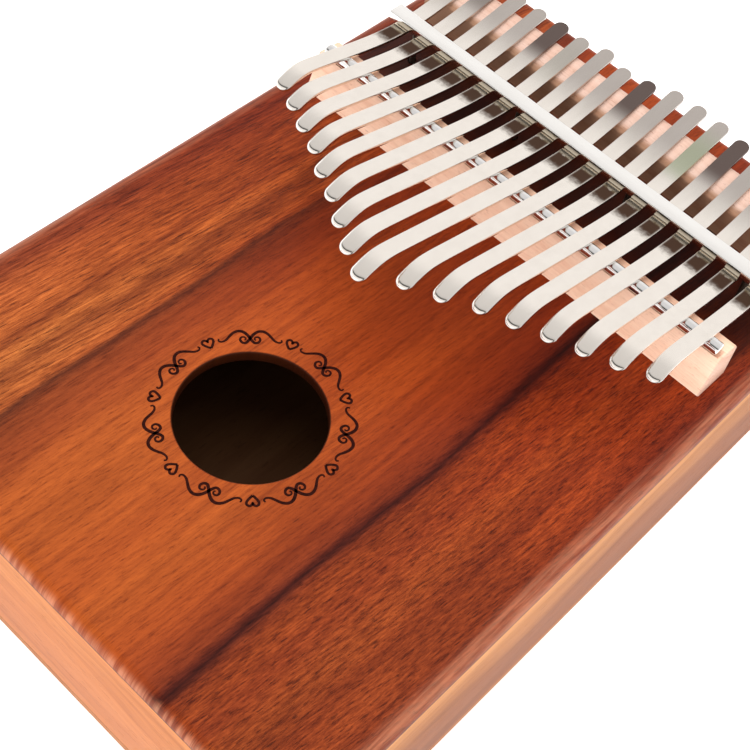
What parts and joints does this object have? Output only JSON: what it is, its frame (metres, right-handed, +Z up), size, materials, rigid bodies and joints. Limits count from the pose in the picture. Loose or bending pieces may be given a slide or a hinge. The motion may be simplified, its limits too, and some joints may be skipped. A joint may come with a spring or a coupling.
{
  "type": "mbira",
  "caption": "Hollow wooden box mbira with a round sound hole, two wooden bridges, a steel pressure bar and a fan of springy upturned steel tines to pluck.",
  "frame": {"origin": "centre of the underside of the back board, on the surface the box lies on", "axes": "+X to the player's right across the tines, +Y from the tail (sound hole end) to the head (rear bridge end), +Z up out of the soundboard"},
  "size_m": [0.125, 0.185, 0.0602],
  "materials": {
    "soundboard": "satin oiled hardwood, darker streaks along the length",
    "rim_wood": "satin clear-finished light hardwood",
    "bridge_wood": "smooth pale hardwood with fine pores",
    "tine_steel": "satin spring steel with a warm tint",
    "bar_steel": "bright polished square bar",
    "zinc_steel": "zinc plated"
  },
  "bodies": {
    "box": {"soundboard": "soundboard", "back_board": "rim_wood", "left_side": "rim_wood", "right_side": "rim_wood", "head_end": "rim_wood", "tail_end": "rim_wood", "bridge_brace": "rim_wood", "front_bridge": "bridge_wood", "bridge_rod": "zinc_steel", "rear_bridge": "bridge_wood", "pressure_bar": "bar_steel", "bar_washer_1": "zinc_steel", "bar_washer_2": "zinc_steel", "bar_washer_3": "zinc_steel", "bar_washer_4": "zinc_steel", "bar_screw_1": "zinc_steel", "bar_screw_2": "zinc_steel", "bar_screw_3": "zinc_steel", "bar_screw_4": "zinc_steel", "tine_01_root": "tine_steel", "tine_02_root": "tine_steel", "tine_03_root": "tine_steel", "tine_04_root": "tine_steel", "tine_05_root": "tine_steel", "tine_06_root": "tine_steel", "tine_07_root": "tine_steel", "tine_08_root": "tine_steel", "tine_09_root": "tine_steel", "tine_10_root": "tine_steel", "tine_11_root": "tine_steel", "tine_12_root": "tine_steel", "tine_13_root": "tine_steel", "tine_14_root": "tine_steel", "tine_15_root": "tine_steel", "tine_16_root": "tine_steel", "tine_17_root": "tine_steel"},
    "tine_01_tongue": {"tine_01": "tine_steel"},
    "tine_02_tongue": {"tine_02": "tine_steel"},
    "tine_03_tongue": {"tine_03": "tine_steel"},
    "tine_04_tongue": {"tine_04": "tine_steel"},
    "tine_05_tongue": {"tine_05": "tine_steel"},
    "tine_06_tongue": {"tine_06": "tine_steel"},
    "tine_07_tongue": {"tine_07": "tine_steel"},
    "tine_08_tongue": {"tine_08": "tine_steel"},
    "tine_09_tongue": {"tine_09": "tine_steel"},
    "tine_10_tongue": {"tine_10": "tine_steel"},
    "tine_11_tongue": {"tine_11": "tine_steel"},
    "tine_12_tongue": {"tine_12": "tine_steel"},
    "tine_13_tongue": {"tine_13": "tine_steel"},
    "tine_14_tongue": {"tine_14": "tine_steel"},
    "tine_15_tongue": {"tine_15": "tine_steel"},
    "tine_16_tongue": {"tine_16": "tine_steel"},
    "tine_17_tongue": {"tine_17": "tine_steel"}
  },
  "joints": [
    {"name": "tine_01_flex", "type": "hinge", "parent": "box", "child": "tine_01_tongue", "pos_m": [-0.0504, 0.0325, 0.0493], "axis": [1, 0, 0], "range_deg": [-1.5, 3.5], "stiffness_Nm_per_rad": 1},
    {"name": "tine_02_flex", "type": "hinge", "parent": "box", "child": "tine_02_tongue", "pos_m": [-0.0441, 0.0325, 0.0493], "axis": [1, 0, 0], "range_deg": [-1.5, 3.5], "stiffness_Nm_per_rad": 1},
    {"name": "tine_03_flex", "type": "hinge", "parent": "box", "child": "tine_03_tongue", "pos_m": [-0.0378, 0.0325, 0.0493], "axis": [1, 0, 0], "range_deg": [-1.5, 3.5], "stiffness_Nm_per_rad": 1},
    {"name": "tine_04_flex", "type": "hinge", "parent": "box", "child": "tine_04_tongue", "pos_m": [-0.0315, 0.0325, 0.0493], "axis": [1, 0, 0], "range_deg": [-1.5, 3.5], "stiffness_Nm_per_rad": 1},
    {"name": "tine_05_flex", "type": "hinge", "parent": "box", "child": "tine_05_tongue", "pos_m": [-0.0252, 0.0325, 0.0493], "axis": [1, 0, 0], "range_deg": [-1.5, 3.5], "stiffness_Nm_per_rad": 1},
    {"name": "tine_06_flex", "type": "hinge", "parent": "box", "child": "tine_06_tongue", "pos_m": [-0.0189, 0.0325, 0.0493], "axis": [1, 0, 0], "range_deg": [-1.5, 3.5], "stiffness_Nm_per_rad": 1},
    {"name": "tine_07_flex", "type": "hinge", "parent": "box", "child": "tine_07_tongue", "pos_m": [-0.0126, 0.0325, 0.0493], "axis": [1, 0, 0], "range_deg": [-1.5, 3.5], "stiffness_Nm_per_rad": 1},
    {"name": "tine_08_flex", "type": "hinge", "parent": "box", "child": "tine_08_tongue", "pos_m": [-0.0063, 0.0325, 0.0493], "axis": [1, 0, 0], "range_deg": [-1.5, 3.5], "stiffness_Nm_per_rad": 1},
    {"name": "tine_09_flex", "type": "hinge", "parent": "box", "child": "tine_09_tongue", "pos_m": [0, 0.0325, 0.0493], "axis": [1, 0, 0], "range_deg": [-1.5, 3.5], "stiffness_Nm_per_rad": 1},
    {"name": "tine_10_flex", "type": "hinge", "parent": "box", "child": "tine_10_tongue", "pos_m": [0.0063, 0.0325, 0.0493], "axis": [1, 0, 0], "range_deg": [-1.5, 3.5], "stiffness_Nm_per_rad": 1},
    {"name": "tine_11_flex", "type": "hinge", "parent": "box", "child": "tine_11_tongue", "pos_m": [0.0126, 0.0325, 0.0493], "axis": [1, 0, 0], "range_deg": [-1.5, 3.5], "stiffness_Nm_per_rad": 1},
    {"name": "tine_12_flex", "type": "hinge", "parent": "box", "child": "tine_12_tongue", "pos_m": [0.0189, 0.0325, 0.0493], "axis": [1, 0, 0], "range_deg": [-1.5, 3.5], "stiffness_Nm_per_rad": 1},
    {"name": "tine_13_flex", "type": "hinge", "parent": "box", "child": "tine_13_tongue", "pos_m": [0.0252, 0.0325, 0.0493], "axis": [1, 0, 0], "range_deg": [-1.5, 3.5], "stiffness_Nm_per_rad": 1},
    {"name": "tine_14_flex", "type": "hinge", "parent": "box", "child": "tine_14_tongue", "pos_m": [0.0315, 0.0325, 0.0493], "axis": [1, 0, 0], "range_deg": [-1.5, 3.5], "stiffness_Nm_per_rad": 1},
    {"name": "tine_15_flex", "type": "hinge", "parent": "box", "child": "tine_15_tongue", "pos_m": [0.0378, 0.0325, 0.0493], "axis": [1, 0, 0], "range_deg": [-1.5, 3.5], "stiffness_Nm_per_rad": 1},
    {"name": "tine_16_flex", "type": "hinge", "parent": "box", "child": "tine_16_tongue", "pos_m": [0.0441, 0.0325, 0.0493], "axis": [1, 0, 0], "range_deg": [-1.5, 3.5], "stiffness_Nm_per_rad": 1},
    {"name": "tine_17_flex", "type": "hinge", "parent": "box", "child": "tine_17_tongue", "pos_m": [0.0504, 0.0325, 0.0493], "axis": [1, 0, 0], "range_deg": [-1.5, 3.5], "stiffness_Nm_per_rad": 1}
  ]
}
